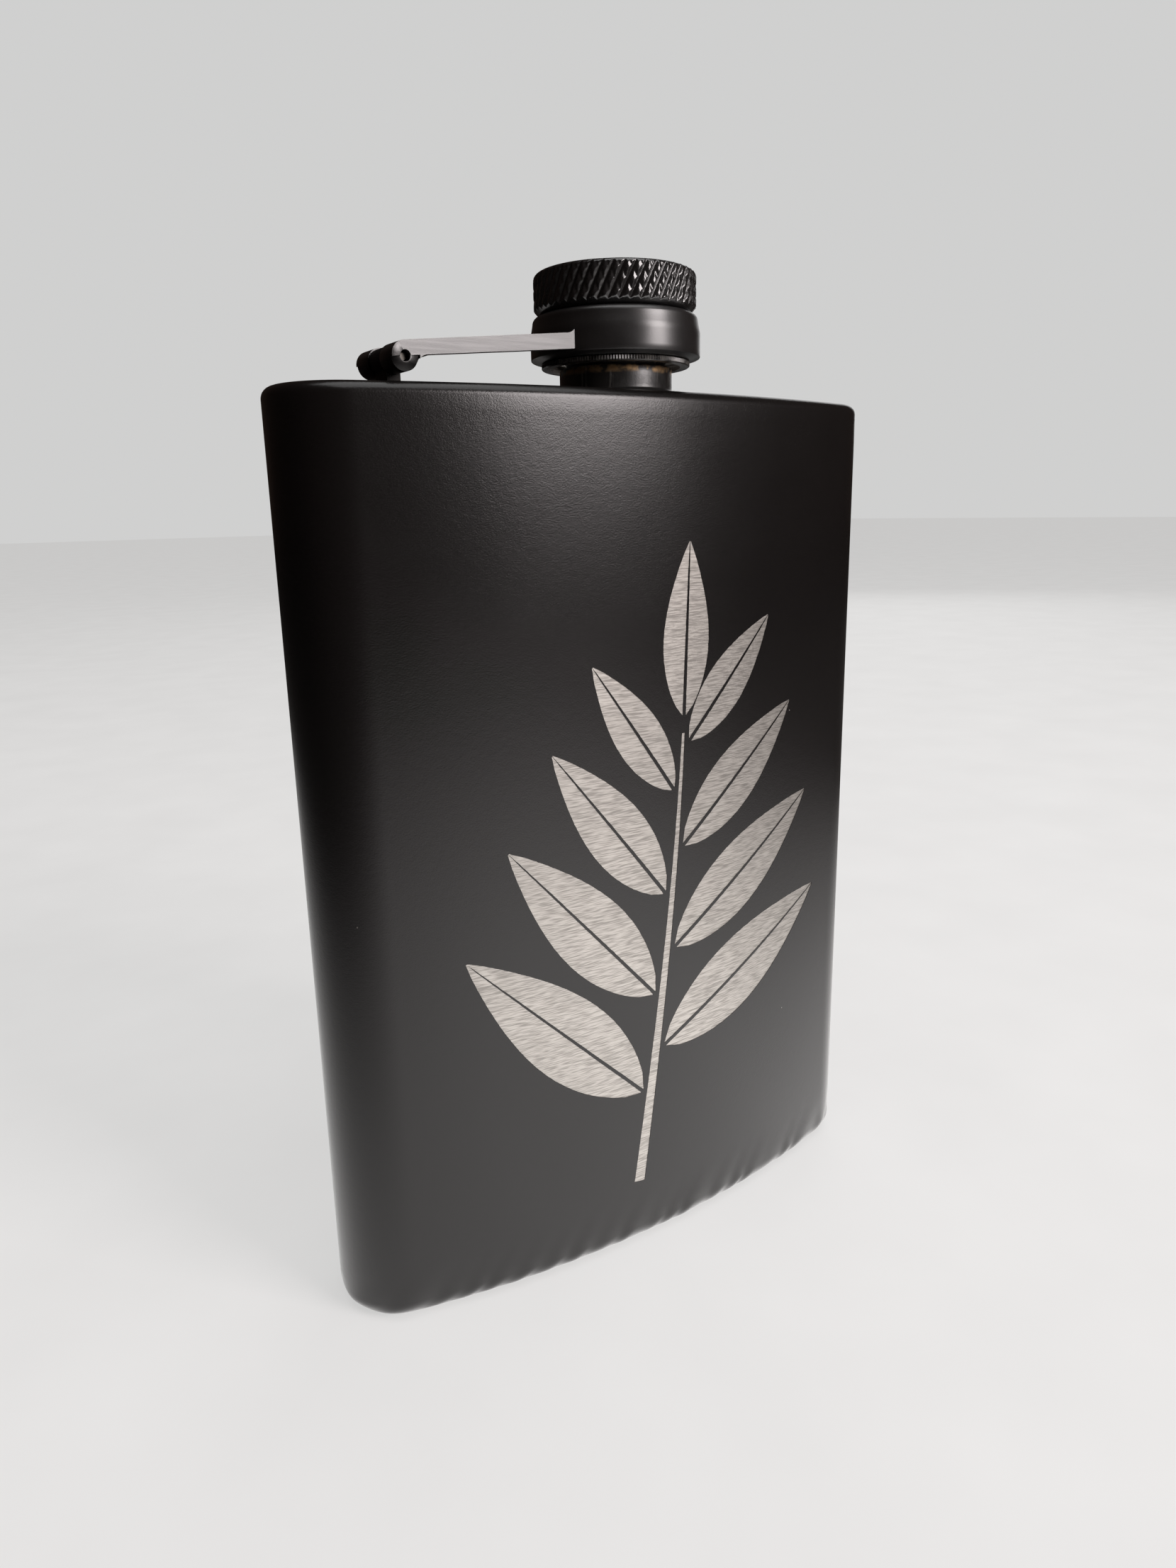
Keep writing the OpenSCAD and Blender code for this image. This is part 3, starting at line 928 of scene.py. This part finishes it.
def underside_cutter():
    """Takes away what lies below the bar's underside, which slopes up to the back."""
    bar_place = Matrix.Translation((HINGE_X, -ARM_W / 2, HINGE_Z))
    bar_place = bar_place @ Matrix.Rotation(-ARM_LOW_SLOPE, 4, "Y") @ Matrix.Rotation(UNDER_TILT, 4, "X")
    verts = [(bar_place @ Vector((x, y, z))) * MM for x in (UNDER_START, -HINGE_X) for y in (-1, ARM_W + 1)
             for z in (-UNDER_DROP - 5, -UNDER_DROP)]
    faces = [(0, 1, 3, 2), (4, 6, 7, 5), (0, 4, 5, 1), (2, 3, 7, 6), (0, 2, 6, 4), (1, 5, 7, 3)]
    return scratch_solid("under_cut", verts, faces)


def collar_cutter():
    """The collar's outside, which the bar's root is cut to sit against."""
    n = COLLAR_STEPS
    verts = [(x * MM, y * MM, z * MM) for z in (BODY_H + 1, BODY_H + 14) for x, y in circle(COLLAR_R, n)]
    faces = [tuple(range(n))[::-1], tuple(range(n, 2 * n))]
    faces += [(i, (i + 1) % n, n + (i + 1) % n, n + i) for i in range(n)]
    return scratch_solid("collar_cut", verts, faces)


def arm_outline():
    """Side view of the arm, from the pin: round ear, bar that thickens, flared root at the collar."""
    root_x = -HINGE_X - COLLAR_R
    length = root_x + 3.0

    def top_at(x):
        return EAR_R / math.cos(ARM_TOP_SLOPE) + x * math.tan(ARM_TOP_SLOPE)

    fillet_deg = 159.8
    outline = arc(0, 0, EAR_R, 90 + TOP_DEG, 180 + fillet_deg, 44)
    outline += arc(EAR_R + 1.15, -1.05, 1.3, fillet_deg, 90 + LOW_DEG, 10)
    low_end = (length, length * math.tan(ARM_LOW_SLOPE))
    outline += line(outline[-1], low_end, 24)[1:] + [low_end]
    outline.append((length, top_at(length) + FLARE_H))
    flare = [(root_x + FLARE_W * k / 8, top_at(root_x) + FLARE_H * (k / 8) ** 2.6) for k in range(9)]
    outline += flare[::-1]
    outline += line((flare[0][0] - 0.3, top_at(flare[0][0] - 0.3)), outline[0], 24)
    return outline


def base_outline():
    """Side view of the pedestal: weld bead, straight flanks, and a round knuckle about the pin."""
    knuckle_r = EAR_R - 0.15
    base_z = BODY_H - HINGE_Z
    half = BASE_HALF_W
    lean = math.degrees(math.acos(half / knuckle_r))
    outline = [(-half - WELD_W, base_z), (half + WELD_W, base_z), (half + 0.09, base_z + 0.12),
               (half, base_z + WELD_H)]
    outline += arc(0, 0, knuckle_r, -lean, 180 + lean, 48)
    outline += [(-half, base_z + WELD_H), (-half - 0.09, base_z + 0.12)]
    return outline


def build_hinge():
    arm = side_solid("arm_raw", arm_outline(), [circle(HOLE_R, 32)], ARM_W)
    slot_w = KNUCKLE_W + SLOT_SIDE_PLAY
    slot_round = side_solid("slot_round", circle(SLOT_R, 48), [], slot_w)
    slot_box = side_solid("slot_box", [(-4, -4), (WEB_START, -4), (WEB_START, 5), (-4, 5)], [], slot_w)
    cutters = [slot_box, slot_round, collar_cutter(), underside_cutter(), ear_cutter(-1), ear_cutter(1)]
    mesh = carve(arm, cutters, BAR_BEVEL)
    finish_piece("hinge_arm_bar", mesh, "arm", "hinge_arm", ARM_COAT, 35, 1.5)

    base = side_solid("base_raw", base_outline(), [circle(PIN_R + 0.005, 32)], KNUCKLE_W)
    mesh = carve(base, [], BASE_BEVEL)
    finish_piece("hinge_base_welded", mesh, "flask", "hinge_base", WELD_COAT, 35)

    r, half = PIN_R, (pin_high.y - pin_low.y) / 2
    section = [(0.02, -half), (r - 0.16, -half + 0.02), (r, -half + 0.2), (r, half - 0.2),
               (r - 0.16, half - 0.02), (0.02, half)]
    pin_steps = 40
    loops = []
    for i in range(pin_steps):
        a = TURN * i / pin_steps
        loops.append([(HINGE_X + q * math.cos(a), y, HINGE_Z + q * math.sin(a)) for q, y in section])
    make_piece("hinge_pin_turned", *loft(loops), "flask", "hinge_pin", "bare_steel", TURNED_STEEL, 35)


# ---------------------------------------------------------------- floor, light and camera

EYE = Vector((-88.1, -126.1, 111.8)) * MM
LOOK_YAW = math.radians(33.11)
LOOK_DOWN = math.radians(14.53)
LOOK_ROLL = math.radians(-1.20)
LENS_MM = 24.41
SENSOR_MM = 36

FLOOR_REACH = 6.0
POOL_MID = (0.022, -0.075, 0.0)
POOL_TURN = math.radians(-80)
POOL_STRETCH = (2, 1, 1.0)
POOL_INNER, POOL_OUTER = 0.04, 0.29
POOL_GLOW = 4.9
SEEN_GLOW = 2.3


def build_camera():
    ahead = Vector((math.sin(LOOK_YAW) * math.cos(LOOK_DOWN), math.cos(LOOK_YAW) * math.cos(LOOK_DOWN),
                    -math.sin(LOOK_DOWN)))
    right = Vector((math.cos(LOOK_YAW), -math.sin(LOOK_YAW), 0))
    up = right.cross(ahead)
    right, up = (right * math.cos(LOOK_ROLL) + up * math.sin(LOOK_ROLL),
                 up * math.cos(LOOK_ROLL) - right * math.sin(LOOK_ROLL))
    data = bpy.data.cameras.new("camera")
    data.lens = LENS_MM
    data.sensor_width = SENSOR_MM
    data.sensor_fit = "AUTO"
    data.clip_start = 0.005
    camera = bpy.data.objects.new("camera", data)
    turn = Matrix((right, up, -ahead)).transposed().to_4x4()
    camera.matrix_world = Matrix.Translation(EYE) @ turn
    bpy.context.scene.collection.objects.link(camera)
    bpy.context.scene.camera = camera


def area_light(name, azimuth, elevation, distance, width, height, power, colour=(1, 1, 1)):
    """A soft panel aimed at the flask; azimuth 0 is +X and -90 is straight in front."""
    a, e = math.radians(azimuth), math.radians(elevation)
    target = Vector((0, 0, BODY_H * 0.55 * MM))
    place = target + distance * Vector((math.cos(a) * math.cos(e), math.sin(a) * math.cos(e), math.sin(e)))
    data = bpy.data.lights.new(name, "AREA")
    data.shape = "RECTANGLE"
    data.size, data.size_y = width, height
    data.energy = power
    data.color = colour
    light = bpy.data.objects.new(name, data)
    aim = (target - place).to_track_quat("-Z", "Y").to_matrix().to_4x4()
    light.matrix_world = Matrix.Translation(place) @ aim
    bpy.context.scene.collection.objects.link(light)


def pale_floor():
    """A plain pale floor. In reflections it is a pool of light before the flask, and dim beyond it."""
    s = Shader("pale_floor", Roughness=0.8)
    mottled = s.noise(30, 3.0)
    pale = s.mix(mottled, (0.24, 0.239, 0.237, 1), (0.26, 0.259, 0.257, 1))
    pool = s.add("Mapping", {"Vector": s.coords, "Location": POOL_MID, "Rotation": (0.0, 0.0, POOL_TURN),
                             "Scale": POOL_STRETCH}, vector_type="TEXTURE").outputs["Vector"]
    away = s.add("VectorMath", {0: pool}, operation="LENGTH").outputs["Value"]
    lit = s.ramp(away, POOL_INNER, POOL_OUTER, 1.0, 0.02)
    mirrored = s.mix(lit, (0.034, 0.028, 0.025, 1), (0.95, 0.94, 0.93, 1))
    path = s.add("LightPath")
    near = s.math("MULTIPLY", s.math("MULTIPLY", lit, lit), POOL_GLOW)
    glow = s.math("MULTIPLY_ADD", path.outputs["Is Glossy Ray"], near,
                  s.math("MULTIPLY", path.outputs["Is Camera Ray"], SEEN_GLOW))
    color = s.mix(path.outputs["Is Glossy Ray"], pale, mirrored)
    return s.set(Base_Color=color, Emission_Color=pale, Emission_Strength=glow)


def build_world():
    """A pale surround for the eye, and a dim room for everything else."""
    world = bpy.data.worlds.new("studio")
    world.use_nodes = True
    tree = world.node_tree
    room = tree.nodes["Background"]
    room.inputs["Color"].default_value = (1.0, 0.66, 0.54, 1)
    room.inputs["Strength"].default_value = 0.028
    seen = tree.nodes.new("ShaderNodeBackground")
    seen.inputs["Color"].default_value = (0.9, 0.9, 0.895, 1)
    seen.inputs["Strength"].default_value = 0.7
    rays = tree.nodes.new("ShaderNodeLightPath")
    either = tree.nodes.new("ShaderNodeMixShader")
    tree.links.new(rays.outputs["Is Camera Ray"], either.inputs[0])
    tree.links.new(room.outputs[0], either.inputs[1])
    tree.links.new(seen.outputs[0], either.inputs[2])
    tree.links.new(either.outputs[0], tree.nodes["World Output"].inputs["Surface"])
    bpy.context.scene.world = world
    bpy.context.scene.view_settings.view_transform = "Standard"


def build_stage():
    corners = [(x * FLOOR_REACH, y * FLOOR_REACH, 0) for x, y in ((-1, -1), (1, -1), (1, 1), (-1, 1))]
    mesh = bpy.data.meshes.new("floor")
    mesh.from_pydata(corners, [], [(0, 1, 2, 3)])
    mesh.materials.append(pale_floor())
    floor = bpy.data.objects.new("floor", mesh)
    bpy.context.scene.collection.objects.link(floor)
    build_world()
    area_light("window", -65, 21.5, 1.0, 0.42, 0.46, 10, (1.0, 0.93, 0.925))
    area_light("top_soft", -80, 76, 1.0, 0.9, 0.9, 5.5)
    area_light("back_soft", 42, 24, 1.2, 0.6, 0.8, 2)


build_wall()
build_plate("top_plate_coated", "top_plate", BODY_H - PLATE_T, BODY_H, TOP_LIP, True, SPIGOT_R)
build_plate("bottom_plate_coated", "bottom_plate", 0.0, PLATE_T, FOOT_LIP, False)
build_turned_pieces()
build_hinge()
build_stage()
build_camera()

bpy.context.view_layer.update()
